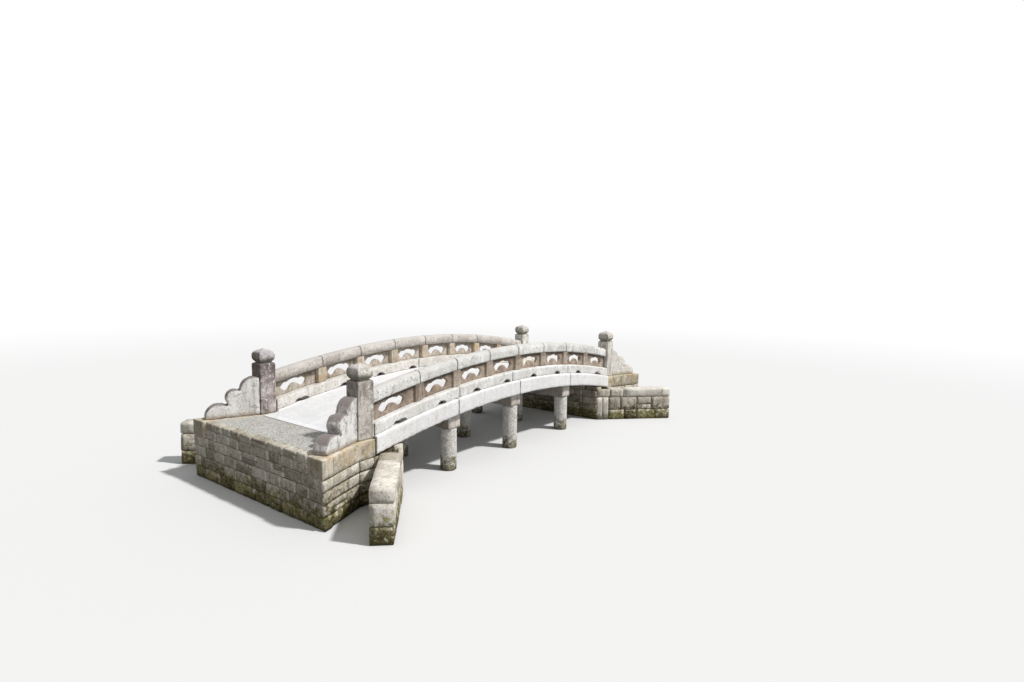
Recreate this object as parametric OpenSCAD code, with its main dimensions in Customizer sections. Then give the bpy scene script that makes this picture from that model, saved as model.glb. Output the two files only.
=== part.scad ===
// Arched stone beam bridge of a Japanese garden, in millimetres.
// X runs along the bridge, Y across it, Z is up, and z = 0 is the water line.
// The near balustrade is on -Y. Every piece that follows the deck takes its
// height from one line of straight facets, so neighbours meet face to face.

/* [Bridge] */
// Centre of the bridge to the centre of a newel post
half_span = 4900; // [3600:50:6500]
// Rise of the deck at mid-span over its ends
deck_rise = 525; // [200:25:900]
// Height of the deck's ends over the water
deck_end_z = 1260; // [1000:20:2000]
// Middle of the bridge to the middle of a balustrade
rail_y = 1665; // [1200:5:2500]

/* [Beams and deck] */
// Mid-span to the centre of an outer bent
bent_pitch = 2375; // [1800:25:3000]
// Distance of the middle bent from mid-span
mid_bent_x = -70; // [-200:10:200]
// Width of an edge beam
beam_w = 500; // [350:10:700]
// Depth of an edge beam and of a deck slab
beam_d = 365; // [250:5:500]
// Number of deck slabs side by side between the edge beams
slab_count = 4; // [2:1:6]
// Width of an open joint between stones
joint = 5; // [3:1:12]
// Thickness of the bedding between two stones that lie on each other
bed = 0.3; // [0.1:0.1:0.8]

/* [Bents] */
// Width of a cap beam along the bridge
cap_w = 390; // [300:10:500]
// Depth of a cap beam at its shallower side
cap_d = 310; // [200:10:400]
// Distance that a cap beam's end stays back from the edge beam's face
cap_back = 130; // [0:5:250]
// Diameter of a column
column_d = 380; // [300:10:440]
// Middle of the bridge to the middle of an outer column
column_y = 1590; // [1000:10:2200]

/* [Balustrade] */
// Height of the base course
base_h = 245; // [200:5:360]
// Width of the base course
base_w = 400; // [320:10:460]
// Width of the arched drain notch under each bay
drain_w = 210; // [120:10:260]
// Height of the drain notch
drain_h = 70; // [40:5:90]
// Distance of the base course's middle joint from mid-span
base_joint_x = -330; // [-500:10:500]
// Centre to centre of the posts
post_pitch = 1150; // [900:10:1400]
// Number of posts on a side
post_count = 7; // [3:2:7]
// Width of a post along the rail
post_w = 240; // [160:10:300]
// Depth of a post across the rail
post_d = 230; // [180:10:260]
// Height of the posts and panels
panel_h = 365; // [280:5:420]
// Thickness of a panel
panel_t = 70; // [60:10:170]
// Distance of a panel's middle outward from the rail's middle
panel_out = 27; // [0:1:40]
// Width of the rail
rail_w = 260; // [200:10:320]
// Height of the rail
rail_h = 262; // [180:2:320]
// Height of the rail's upright sides
rail_side_h = 170; // [90:5:200]
// Width of the rail's flat top
rail_top_w = 110; // [60:10:140]

/* [Cusped opening in a panel] */
// Distance from the middle to the middle of an end lobe
lobe_x = 212; // [180:2:250]
// Radius of an end lobe
lobe_r = 96; // [60:2:100]
// Radius of the flat arch between the end lobes
crown_r = 350; // [250:10:500]
// Height of the opening's highest point over the base course
crown_z = 288; // [250:2:310]
// Radius of the hump below
hump_r = 162; // [100:2:180]
// Height of the hump's top over the base course
hump_z = 183; // [140:1:200]
// Height of the middle of an end lobe over the base course
lobe_z = 164; // [140:2:190]
// Distance from the middle to the pointed end
tip_x = 340; // [300:5:380]
// Height of the pointed end over the base course
tip_z = 175; // [140:5:240]
// Height where the hump and the low lobes meet
waist_z = 120; // [90:5:140]
// Angle above and below level at which the pointed end leaves its lobe
tip_angle = 44; // [30:2:60]

/* [Newels] */
// Side of a newel post
newel_w = 370; // [300:10:440]
// Height of a newel post
newel_h = 1140; // [1000:10:1400]
// Radius of its upright arrises
newel_r = 22; // [8:2:40]
// Radius of the dome on its top
newel_dome_r = 900; // [500:50:2000]
// Diameter of the flat on the dome, where the cap stands
newel_flat_d = 300; // [120:10:320]
// Largest width of the cap
finial_w = 374; // [300:2:440]
// Height of the cap with its neck
finial_h = 325; // [260:1:420]

/* [Wing stones] */
// Angle that a wing stone turns away from the bridge
wing_flare = 20; // [0:1:25]
// Length of a wing stone
wing_l = 1030; // [850:10:1300]
// Height of a wing stone at the newel
wing_h = 845; // [600:5:900]
// Thickness of a wing stone
wing_t = 300; // [200:10:340]

/* [Abutments] */
// Middle of the bridge to the face of an abutment
abutment_x = 4000; // [3000:25:4400]
// Width of the kerb under a newel and its wing stone
kerb_w = 460; // [400:10:600]
// Angle that a wing wall turns away from the bridge
wall_flare = 44; // [30:1:60]
// Length of a wing wall
wall_l = 2400; // [1200:50:3000]
// Thickness of a wing wall
wall_t = 450; // [300:10:600]
// Height of a wing wall
wall_h = 960; // [600:10:1200]

/* [Hidden] */
left = -1;
right = 1;
near = -1;
far = 1;
bays = post_count + 1;

// The deck's arc and its straight facets
facet_count = 20;
shoulder_n = 4;
arris_angle = 15;
facet = half_span / facet_count;
arc_r = (half_span * half_span + deck_rise * deck_rise) / (2 * deck_rise);
tiny = 0.001;

// Lines and faces that several pieces share
beam_out = rail_y + beam_w / 2;
beam_in = rail_y - beam_w / 2;
newel_in_x = half_span - newel_w / 2;
newel_out_x = half_span + newel_w / 2;
seat_z = deck_end_z - beam_d;
slab_w = (2 * beam_in - (slab_count + 1) * joint) / slab_count;
rail_lo = base_h + panel_h;
drain_r = (drain_w ^ 2 / 4 + drain_h ^ 2) / (2 * drain_h);
post_x = [for (k = [1:post_count]) (k - (post_count + 1) / 2) * post_pitch];
kerb_past_wing = 60;
kerb_end = wing_l + kerb_past_wing;
core_end_x = newel_out_x + kerb_end * cos(wing_flare) + kerb_w / 2 * sin(wing_flare);
core_turn = (core_end_x - newel_out_x) * tan(wing_flare);

// Height of the true arc, level past the newels
function arc_z(x) = abs(x) >= half_span
  ? deck_end_z
  : deck_end_z + deck_rise - arc_r + sqrt(arc_r * arc_r - x * x);

// Height of the facet line at any x
function line_z(x) =
  let (i = floor(x / facet), t = x / facet - i)
  arc_z(i * facet) * (1 - t) + arc_z((i + 1) * facet) * t;

// Both ends of a stretch, with every facet's end between them
function stations(x0, x1) = concat(
  [x0],
  [for (i = [ceil(x0 / facet + tiny):1:floor(x1 / facet - tiny)]) i * facet],
  [x1]
);

// The facet line between two places, raised by dz
function run(x0, x1, dz) = [for (x = stations(x0, x1)) [x, line_z(x) + dz]];

function backwards(v) = [for (i = [len(v) - 1:-1:0]) v[i]];

// Side view of a piece between two lines parallel to the deck
module strip_outline(x0, x1, lo, hi) {
  polygon(concat(run(x0, x1, lo), backwards(run(x0, x1, hi))));
}

// Stands a side view up and gives it its width from y0 to y1
module across(y0, y1) {
  translate([0, y1, 0]) rotate([90, 0, 0]) linear_extrude(y1 - y0) children();
}

module strip(x0, x1, lo, hi, y0, y1) {
  across(y0, y1) strip_outline(x0, x1, lo, hi);
}

// Puts a piece drawn for the far right corner at any corner
module corner(end, side) {
  mirror([end < 0 ? 1 : 0, 0, 0]) mirror([0, side < 0 ? 1 : 0, 0]) children();
}

module on_side(side) {
  mirror([0, side < 0 ? 1 : 0, 0]) children();
}

// Masonry mass under one end of the bridge, drawn for the right end
module abutment(end) {
  color("dimgray") mirror([end < 0 ? 1 : 0, 0, 0]) {
    linear_extrude(seat_z - bed) polygon([
      [abutment_x, -beam_out], [newel_out_x, -beam_out], [core_end_x, -beam_out - core_turn],
      [core_end_x, beam_out + core_turn], [newel_out_x, beam_out], [abutment_x, beam_out]
    ]);
    seat(abutment_x, newel_in_x, beam_out);
    seat(newel_in_x, half_span, rail_y - kerb_w / 2);
    approach_fill();
  }
}

// Top of the abutment under the beams and slabs, cut to the deck's line
module seat(x0, x1, y) {
  across(-y, y) polygon(concat([[x1, seat_z - bed], [x0, seat_z - bed]], run(x0, x1, -beam_d - bed)));
}

// Raised middle of the abutment behind the deck, between the kerbs
module approach_fill() {
  y = rail_y - kerb_w / 2;
  translate([0, 0, seat_z - bed]) linear_extrude(beam_d + bed) polygon([
    [newel_out_x, -y], [core_end_x, -y - core_turn],
    [core_end_x, y + core_turn], [newel_out_x, y]
  ]);
}

// Splayed wall beside an abutment, drawn for the far right corner
module wing_wall(end, side) {
  c = cos(wall_flare);
  s = sin(wall_flare);
  color("gray") corner(end, side) linear_extrude(wall_h) polygon([
    [abutment_x, beam_out],
    [abutment_x + wall_l * c, beam_out + wall_l * s],
    [abutment_x + wall_l * c + wall_t * s, beam_out + wall_l * s - wall_t * c],
    [abutment_x + wall_t / s, beam_out]
  ]);
}

// Kerb stone that carries a newel and its wing stone
module kerb(end, side) {
  y0 = rail_y - kerb_w / 2;
  y1 = rail_y + kerb_w / 2;
  color("darkgray") corner(end, side) translate([0, 0, seat_z]) linear_extrude(beam_d) polygon([
    [newel_in_x + joint, y0], [newel_out_x, y0], [core_end_x, y0 + core_turn],
    [core_end_x, y1 + core_turn], [newel_out_x, y1], [newel_in_x + joint, y1]
  ]);
}

// Place of the left, middle or right bent, k being -1, 0 or 1
function bent_x(k) = k == 0 ? mid_bent_x : k * bent_pitch;

// Underside of the cap beam at a bent
function cap_bottom(x) =
  min(line_z(x - cap_w / 2), line_z(x + cap_w / 2)) - beam_d - cap_d;

// Three round columns of a bent
module columns(x) {
  color("gray") for (y = [-column_y, 0, column_y])
    translate([x, y, 0]) cylinder(d = column_d, h = cap_bottom(x), $fn = 48);
}

// Beam across the columns, level below and cut to the deck's line above
module cap_beam(x) {
  x0 = x - cap_w / 2;
  x1 = x + cap_w / 2;
  y = beam_out - cap_back;
  color("darkgray") across(-y, y) polygon(concat(
    [[x1, cap_bottom(x)], [x0, cap_bottom(x)]], run(x0, x1, -beam_d - bed)
  ));
}

// Ends of span number i, with half a joint left open at each bent
function span_start(i) = i == 0 ? -newel_in_x : bent_x(i - 2) + joint / 2;
function span_end(i) = i == 3 ? newel_in_x : bent_x(i - 1) - joint / 2;

module edge_beams(side) {
  color("whitesmoke") on_side(side) for (i = [0:3])
    strip(span_start(i), span_end(i), -beam_d, 0, beam_in, beam_out);
}

// Slabs of one span, which run on between the newels at the bridge's ends
module deck(i) {
  x0 = i == 0 ? -newel_out_x : span_start(i);
  x1 = i == 3 ? newel_out_x : span_end(i);
  color("white") for (j = [0:slab_count - 1]) {
    y0 = -beam_in + joint + j * (slab_w + joint);
    strip(x0, x1, -beam_d, 0, y0, y0 + slab_w);
  }
}

// Middle of bay number i, from the left
function bay_from(i) = i == 0 ? -newel_in_x : post_x[i - 1] + post_w / 2;
function bay_to(i) = i == bays - 1 ? newel_in_x : post_x[i] - post_w / 2;
function bay_mid(i) = (bay_from(i) + bay_to(i)) / 2;

// Joint of the base course before bay number i, the middle one out of line with its post
function base_joint(i) = post_x[i - 1] + (i == bays / 2 ? base_joint_x : 0);

// Course under the posts, jointed at every other post, with its drain notches
module base_course(side) {
  color("whitesmoke") on_side(side) difference() {
    for (i = [0:2:bays - 1]) {
      x0 = i == 0 ? -newel_in_x + joint : base_joint(i) + joint / 2;
      x1 = i == bays - 2 ? newel_in_x - joint : base_joint(i + 2) - joint / 2;
      strip(x0, x1, bed, base_h, rail_y - base_w / 2, rail_y + base_w / 2);
    }
    for (i = [0:bays - 1])
      translate([bay_mid(i), rail_y + base_w, line_z(bay_mid(i)) + drain_h - drain_r])
        rotate([90, 0, 0]) cylinder(r = drain_r, h = 2 * base_w, $fn = 64);
  }
}

module posts(side) {
  color("tan") on_side(side) for (x = post_x)
    strip(x - post_w / 2, x + post_w / 2, base_h + bed, rail_lo,
      rail_y - post_d / 2, rail_y + post_d / 2);
}

// Cusped opening: a flat arch between two pointed lobes, over a round hump
module cusped_opening() {
  difference() {
    union() {
      intersection() {
        translate([0, crown_z - crown_r]) circle(r = crown_r, $fn = 128);
        translate([-lobe_x, waist_z]) square([2 * lobe_x, crown_z]);
      }
      for (s = [-1, 1]) translate([s * lobe_x, lobe_z]) {
        circle(r = lobe_r, $fn = 64);
        polygon([
          [0, 0],
          [s * lobe_r * cos(tip_angle), -lobe_r * sin(tip_angle)],
          [s * (tip_x - lobe_x), tip_z - lobe_z],
          [s * lobe_r * cos(tip_angle), lobe_r * sin(tip_angle)]
        ]);
      }
    }
    translate([0, hump_z - hump_r]) circle(r = hump_r, $fn = 96);
  }
}

// Slope of the deck's line over a bay
function bay_slope(i) =
  atan2(line_z(bay_to(i)) - line_z(bay_from(i)), bay_to(i) - bay_from(i));

module panels(side, first) {
  color("tan") on_side(side) for (i = [first:first + bays / 2 - 1])
    across(rail_y + panel_out - panel_t / 2, rail_y + panel_out + panel_t / 2) difference() {
      strip_outline(bay_from(i), bay_to(i), base_h + bed, rail_lo);
      translate([bay_mid(i), line_z(bay_mid(i)) + base_h]) rotate(bay_slope(i)) cusped_opening();
    }
}

// Shoulder of the rail at step k, from the arris of its side to its flat top
function shoulder(k) =
  let (a = arris_angle + (90 - arris_angle) * k / shoulder_n)
  [rail_top_w / 2 + (rail_w - rail_top_w) / 2 * cos(a) / cos(arris_angle),
   rail_side_h + (rail_h - rail_side_h) * (sin(a) - sin(arris_angle)) / (1 - sin(arris_angle))];

// Section of the rail as points [y, z]
rail_section = concat(
  [[-rail_w / 2, 0]],
  [for (k = [0:shoulder_n]) [-shoulder(k)[0], shoulder(k)[1]]],
  [for (k = [shoulder_n:-1:0]) shoulder(k)],
  [[rail_w / 2, 0]]
);

// Sweeps a section along the deck's line from x0 to x1, raised by dz
module sweep(section, x0, x1, dz, y) {
  xs = stations(x0, x1);
  m = len(section);
  n = len(xs);
  rings = [for (x = xs, p = section) [x, y + p[0], line_z(x) + dz + p[1]]];
  sides = [for (i = [0:n - 2], j = [0:m - 1]) let (k = (j + 1) % m)
    [i * m + j, (i + 1) * m + j, (i + 1) * m + k, i * m + k]];
  ends = [
    [for (j = [0:m - 1]) j],
    [for (j = [m - 1:-1:0]) (n - 1) * m + j]
  ];
  polyhedron(rings, concat(sides, ends), convexity = 4);
}

// Rail stones jointed over the posts, the last one two bays long
module rail(side) {
  cuts = concat([-newel_in_x], [for (k = [0:post_count - 2]) post_x[k]], [newel_in_x]);
  color("lightgray") on_side(side) for (k = [0:len(cuts) - 2])
    sweep(rail_section, cuts[k] + joint / 2, cuts[k + 1] - joint / 2, rail_lo + bed, rail_y);
}

// Square with round corners
module round_square(w, r) {
  square([w, w - 2 * r], center = true);
  square([w - 2 * r, w], center = true);
  for (x = [-1, 1], y = [-1, 1])
    translate([x * (w / 2 - r), y * (w / 2 - r)]) circle(r = r, $fn = 32);
}

module newel(end, side) {
  dome_drop = newel_dome_r - sqrt(newel_dome_r ^ 2 - (newel_flat_d / 2) ^ 2);
  color("gray") corner(end, side) translate([half_span, rail_y, deck_end_z])
    intersection() {
      linear_extrude(newel_h) round_square(newel_w, newel_r);
      translate([0, 0, newel_h + dome_drop - newel_dome_r]) sphere(r = newel_dome_r, $fn = 96);
    }
}

// Square cushion cap: half width and height at each ring, as parts of its largest
cap_rings = [
  [0.75, 0], [0.75, 0.05], [0.81, 0.09], [0.88, 0.14], [0.95, 0.20], [0.99, 0.29], [1, 0.40],
  [1, 0.50], [0.98, 0.58], [0.93, 0.66], [0.84, 0.73], [0.70, 0.79], [0.53, 0.84], [0.35, 0.88],
  [0.17, 0.93], [0.06, 0.97]
];
cap_corner = 0.18;
corner_steps = 4;

// Ring of a square with round corners, w from its middle to its sides
function cap_ring(w, z) = [for (q = [0:3], k = [0:corner_steps])
  let (a = 90 * (q + k / corner_steps), b = 90 * q + 45, c = (1 - cap_corner) * sqrt(2))
  [w * (c * cos(b) + cap_corner * cos(a)), w * (c * sin(b) + cap_corner * sin(a)), z]];

module newel_cap(end, side) {
  n = len(cap_rings);
  m = 4 * (corner_steps + 1);
  points = concat(
    [for (q = cap_rings) each cap_ring(q[0] * finial_w / 2, q[1] * finial_h)],
    [[0, 0, finial_h]]
  );
  faces = concat(
    [[for (k = [0:m - 1]) k]],
    [for (i = [0:n - 2], k = [0:m - 1])
      [i * m + k, (i + 1) * m + k, (i + 1) * m + (k + 1) % m, i * m + (k + 1) % m]],
    [for (k = [0:m - 1]) [(n - 1) * m + k, n * m, (n - 1) * m + (k + 1) % m]]
  );
  color("dimgray") corner(end, side)
    translate([half_span, rail_y, deck_end_z + newel_h]) polyhedron(points, faces, convexity = 4);
}

// Scrolls of a wing stone: distance from the newel, height and radius of each,
// on a stone of scroll_l by scroll_h
scrolls = [[55, 561, 284], [447, 408, 183], [763, 33, 271]];
scroll_l = 1030;
scroll_h = 845;

// Side view of a wing stone: three scrolls that step down to a low nose
module wing_outline() {
  s = wing_l / scroll_l;
  h = wing_h / scroll_h;
  toe = [[-kerb_past_wing, scrolls[0][1] * h], [-kerb_past_wing, 0], [wing_l, 0]];
  difference() {
    union() {
      polygon(concat(toe, [for (q = backwards(scrolls)) [q[0] * s, q[1] * h]]));
      for (q = scrolls) translate([q[0] * s, q[1] * h]) circle(r = q[2] * min(s, h), $fn = 96);
    }
    translate([-wing_l, -wing_l]) square([3 * wing_l, wing_l]);
  }
}

module wing_stone(end, side) {
  color("silver") corner(end, side) difference() {
    translate([newel_out_x, rail_y, deck_end_z]) rotate([0, 0, wing_flare])
      across(-wing_t / 2, wing_t / 2) wing_outline();
    translate([newel_in_x, 0, deck_end_z]) cube([newel_w + joint, 2 * rail_y, 2 * wing_h]);
  }
}

abutment(left);  // abutment_left
abutment(right);  // abutment_right
wing_wall(left, near);  // wing_wall_near_left
wing_wall(right, near);  // wing_wall_near_right
wing_wall(left, far);  // wing_wall_far_left
wing_wall(right, far);  // wing_wall_far_right
kerb(left, near);  // kerb_near_left
kerb(right, near);  // kerb_near_right
kerb(left, far);  // kerb_far_left
kerb(right, far);  // kerb_far_right
columns(bent_x(-1));  // columns_left
columns(bent_x(0));  // columns_middle
columns(bent_x(1));  // columns_right
cap_beam(bent_x(-1));  // cap_beam_left
cap_beam(bent_x(0));  // cap_beam_middle
cap_beam(bent_x(1));  // cap_beam_right
edge_beams(near);  // edge_beams_near
edge_beams(far);  // edge_beams_far
deck(0);  // deck_1
deck(1);  // deck_2
deck(2);  // deck_3
deck(3);  // deck_4
base_course(near);  // base_course_near
base_course(far);  // base_course_far
posts(near);  // posts_near
posts(far);  // posts_far
panels(near, 0);  // panels_near_left
panels(near, bays / 2);  // panels_near_right
panels(far, 0);  // panels_far_left
panels(far, bays / 2);  // panels_far_right
rail(near);  // rail_near
rail(far);  // rail_far
newel(left, near);  // newel_near_left
newel(right, near);  // newel_near_right
newel(left, far);  // newel_far_left
newel(right, far);  // newel_far_right
newel_cap(left, near);  // newel_cap_near_left
newel_cap(right, near);  // newel_cap_near_right
newel_cap(left, far);  // newel_cap_far_left
newel_cap(right, far);  // newel_cap_far_right
wing_stone(left, near);  // wing_stone_near_left
wing_stone(right, near);  // wing_stone_near_right
wing_stone(left, far);  // wing_stone_far_left
wing_stone(right, far);  // wing_stone_far_right
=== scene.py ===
"""Arched stone beam bridge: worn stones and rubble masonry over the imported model.
Metres. X runs along the bridge, Y across it, Z up from the columns' feet."""
import math
import random

import bmesh
import bpy
from mathutils import Matrix, Vector


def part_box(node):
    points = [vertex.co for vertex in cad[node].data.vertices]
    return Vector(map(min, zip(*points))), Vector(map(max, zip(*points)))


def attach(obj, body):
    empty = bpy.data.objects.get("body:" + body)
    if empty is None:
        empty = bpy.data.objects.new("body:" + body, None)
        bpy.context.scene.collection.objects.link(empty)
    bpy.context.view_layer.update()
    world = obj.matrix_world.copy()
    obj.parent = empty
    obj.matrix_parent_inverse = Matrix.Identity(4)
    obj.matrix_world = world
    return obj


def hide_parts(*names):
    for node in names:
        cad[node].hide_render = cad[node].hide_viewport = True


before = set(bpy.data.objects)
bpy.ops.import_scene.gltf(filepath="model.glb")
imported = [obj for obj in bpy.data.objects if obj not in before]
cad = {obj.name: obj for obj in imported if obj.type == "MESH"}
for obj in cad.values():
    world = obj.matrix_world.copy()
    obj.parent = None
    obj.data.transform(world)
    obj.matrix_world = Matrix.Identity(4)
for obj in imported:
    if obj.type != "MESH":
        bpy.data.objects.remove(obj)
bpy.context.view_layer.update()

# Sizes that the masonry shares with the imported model
ABUTMENT_FACE = abs(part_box("abutment_right")[0].x)
ABUTMENT_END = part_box("abutment_right")[1].x
ABUTMENT_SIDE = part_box("edge_beams_far")[1].y
ABUTMENT_END_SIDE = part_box("abutment_right")[1].y
KERB_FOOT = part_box("kerb_far_right")[0].z
KERB_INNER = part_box("kerb_far_right")[0].y
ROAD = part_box("kerb_far_right")[1].z
NEWEL_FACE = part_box("newel_far_right")[1].x
NEWEL_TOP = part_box("newel_far_right")[1].z
FLARE = math.atan2(ABUTMENT_END_SIDE - ABUTMENT_SIDE, ABUTMENT_END - NEWEL_FACE)
WING_ANGLE = math.radians(44)
WING_THICK = 0.45
WING_LONG = 2.4
WING_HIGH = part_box("wing_wall_far_right")[1].z
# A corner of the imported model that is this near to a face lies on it
ON_FACE = 0.001

# How the masonry is laid: its joints, its courses from the foot up, and the depth of its stones
JOINT_DEPTH = 0.058
JOINT_WIDTH = 0.009
SET_BACK = (0.026, 0.038)
STONE_WIDTHS = (0.28, 0.58)
SPLIT_SHARE = 0.18
ABUTMENT_COURSES = [0.238, 0.226, 0.218]
BEARING_COURSE = 0.13
ROAD_COURSES = [0.19, 0.17]
WING_COURSES = [0.31, 0.40]
FRONT_DEEP, SIDE_DEEP, ROAD_DEEP = 0.26, 0.24, 0.22
# Corner stones take this much of the next face, and the side faces stop short of the end
CORNER_LAP, CORNER_GAP = 0.27, 0.014
# The courses at the road's end reach under the kerbs, and the filling stands back behind them
ROAD_LAP, ROAD_END_BACK = 0.36, 0.19
GRAVEL_DROP = 0.012

# The wing walls' stones, from the abutment outwards
TALL_STONES, TALL_DEEP = 0.38, 0.14
SECOND_JOINT = (0.72, 0.92)
WING_WIDTHS = (0.32, 0.70)
WING_LAST_WIDE = 0.85
WING_SPLIT_SHARE = 0.3
WING_THIN_END, WING_THICKENS, WING_BACK_GAP = 0.12, 0.8, 0.01
SHORT_COPING, LONG_COPING = 0.42, 1.54
WING_CORE_DROP = 0.045

# The deck's arc from end to end, and the distance between posts
HALF_SPAN = (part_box("newel_far_right")[0].x + NEWEL_FACE) / 2
DECK_END = ROAD
DECK_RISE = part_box("deck_3")[1].z - DECK_END
DECK_RADIUS = (HALF_SPAN ** 2 + DECK_RISE ** 2) / (2 * DECK_RISE)
POST_WIDE = 0.24
BAY = (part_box("posts_near")[1].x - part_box("posts_near")[0].x - POST_WIDE) / 6


# Nodes

def put(tree, kind, feeds=None, **settings):
    """Adds a node, sets its settings and feeds its inputs from numbers or other outputs."""
    node = tree.nodes.new(kind)
    for name, value in settings.items():
        setattr(node, name, value)
    for name, value in (feeds or {}).items():
        if isinstance(value, bpy.types.NodeSocket):
            tree.links.new(value, node.inputs[name])
        else:
            node.inputs[name].default_value = value
    return node


def calc(tree, what, a, b=0.0):
    return put(tree, "ShaderNodeMath", {0: a, 1: b}, operation=what).outputs[0]


def product(tree, a, b):
    return calc(tree, "MULTIPLY", a, b)


def total(tree, a, b):
    return calc(tree, "ADD", a, b)


def minus(tree, a, b):
    return calc(tree, "SUBTRACT", a, b)


def vcalc(tree, what, a, b=(0.0, 0.0, 0.0)):
    return put(tree, "ShaderNodeVectorMath", {0: a, 1: b}, operation=what).outputs[0]


def times(tree, value, amount):
    return put(tree, "ShaderNodeVectorMath", {0: value, "Scale": amount}, operation="SCALE").outputs[0]


def measured(tree, what, a, b=(0.0, 0.0, 0.0)):
    """A number worked out from vectors, such as a length."""
    return put(tree, "ShaderNodeVectorMath", {0: a, 1: b}, operation=what).outputs["Value"]


def vector(tree, x=0.0, y=0.0, z=0.0):
    return put(tree, "ShaderNodeCombineXYZ", {0: x, 1: y, 2: z}).outputs[0]


def apart(tree, value):
    """The X, Y and Z of a vector."""
    return put(tree, "ShaderNodeSeparateXYZ", {0: value}).outputs


def fade(tree, value, start, end, low=0.0, high=1.0):
    """Low below start, high above end, smooth between."""
    return put(tree, "ShaderNodeMapRange", {0: value, 1: start, 2: end, 3: low, 4: high},
               interpolation_type="SMOOTHSTEP").outputs[0]


def mottle(tree, place, scale, detail=4.0, rough=0.55, twist=0.0, output=0):
    return put(tree, "ShaderNodeTexNoise", {"Vector": place, "Scale": scale, "Detail": detail,
                                            "Roughness": rough, "Distortion": twist}).outputs[output]


def ragged(tree, place, scale, offset, detail=5.0, rough=0.7, twist=0.5):
    """Noise in a place of its own, so that two layers don't line up."""
    return mottle(tree, vcalc(tree, "ADD", place, offset), scale, detail, rough, twist)


def blended(tree, amount, under, over, mode="MIX"):
    return put(tree, "ShaderNodeMix", {0: amount, 6: under, 7: over},
               data_type="RGBA", blend_type=mode).outputs[2]


def tone(red, green, blue):
    """A colour as the eye reads it, made linear."""
    def line(v):
        v /= 255.0
        return v / 12.92 if v <= 0.04045 else ((v + 0.055) / 1.055) ** 2.4
    return (line(red), line(green), line(blue), 1.0)


# Stone finishes

SPECK_TONE = tone(64, 60, 54)
OCHRE_TONE = tone(200, 168, 116)
LICHEN_PALE, LICHEN_OLIVE = tone(232, 231, 225), tone(112, 108, 84)
# painted shade and grime over the deck
SHADE_AND_GRIME_TONE = tone(70, 62, 56)
# wet stain and painted shade at the drain notches
WET_AND_SHADE_TONE = tone(44, 41, 36)
JOINT_TONE = tone(66, 60, 52)
# damp and painted shade on the sides turned away from the sun
DAMP_AND_SHADE_TONE = tone(84, 80, 66)
MOSS_BROWN, MOSS_STRAW, MOSS_GREEN = tone(78, 72, 42), tone(146, 136, 90), tone(126, 126, 70)
FOOT_TONE = tone(54, 46, 30)
# the way the damp, painted-shade sides face: away from the sun
SHADED_WAY = (-0.86, 0.50, -0.15)
DRAIN_HALF_WIDE, DRAIN_HIGH = 0.145, 0.088


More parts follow.
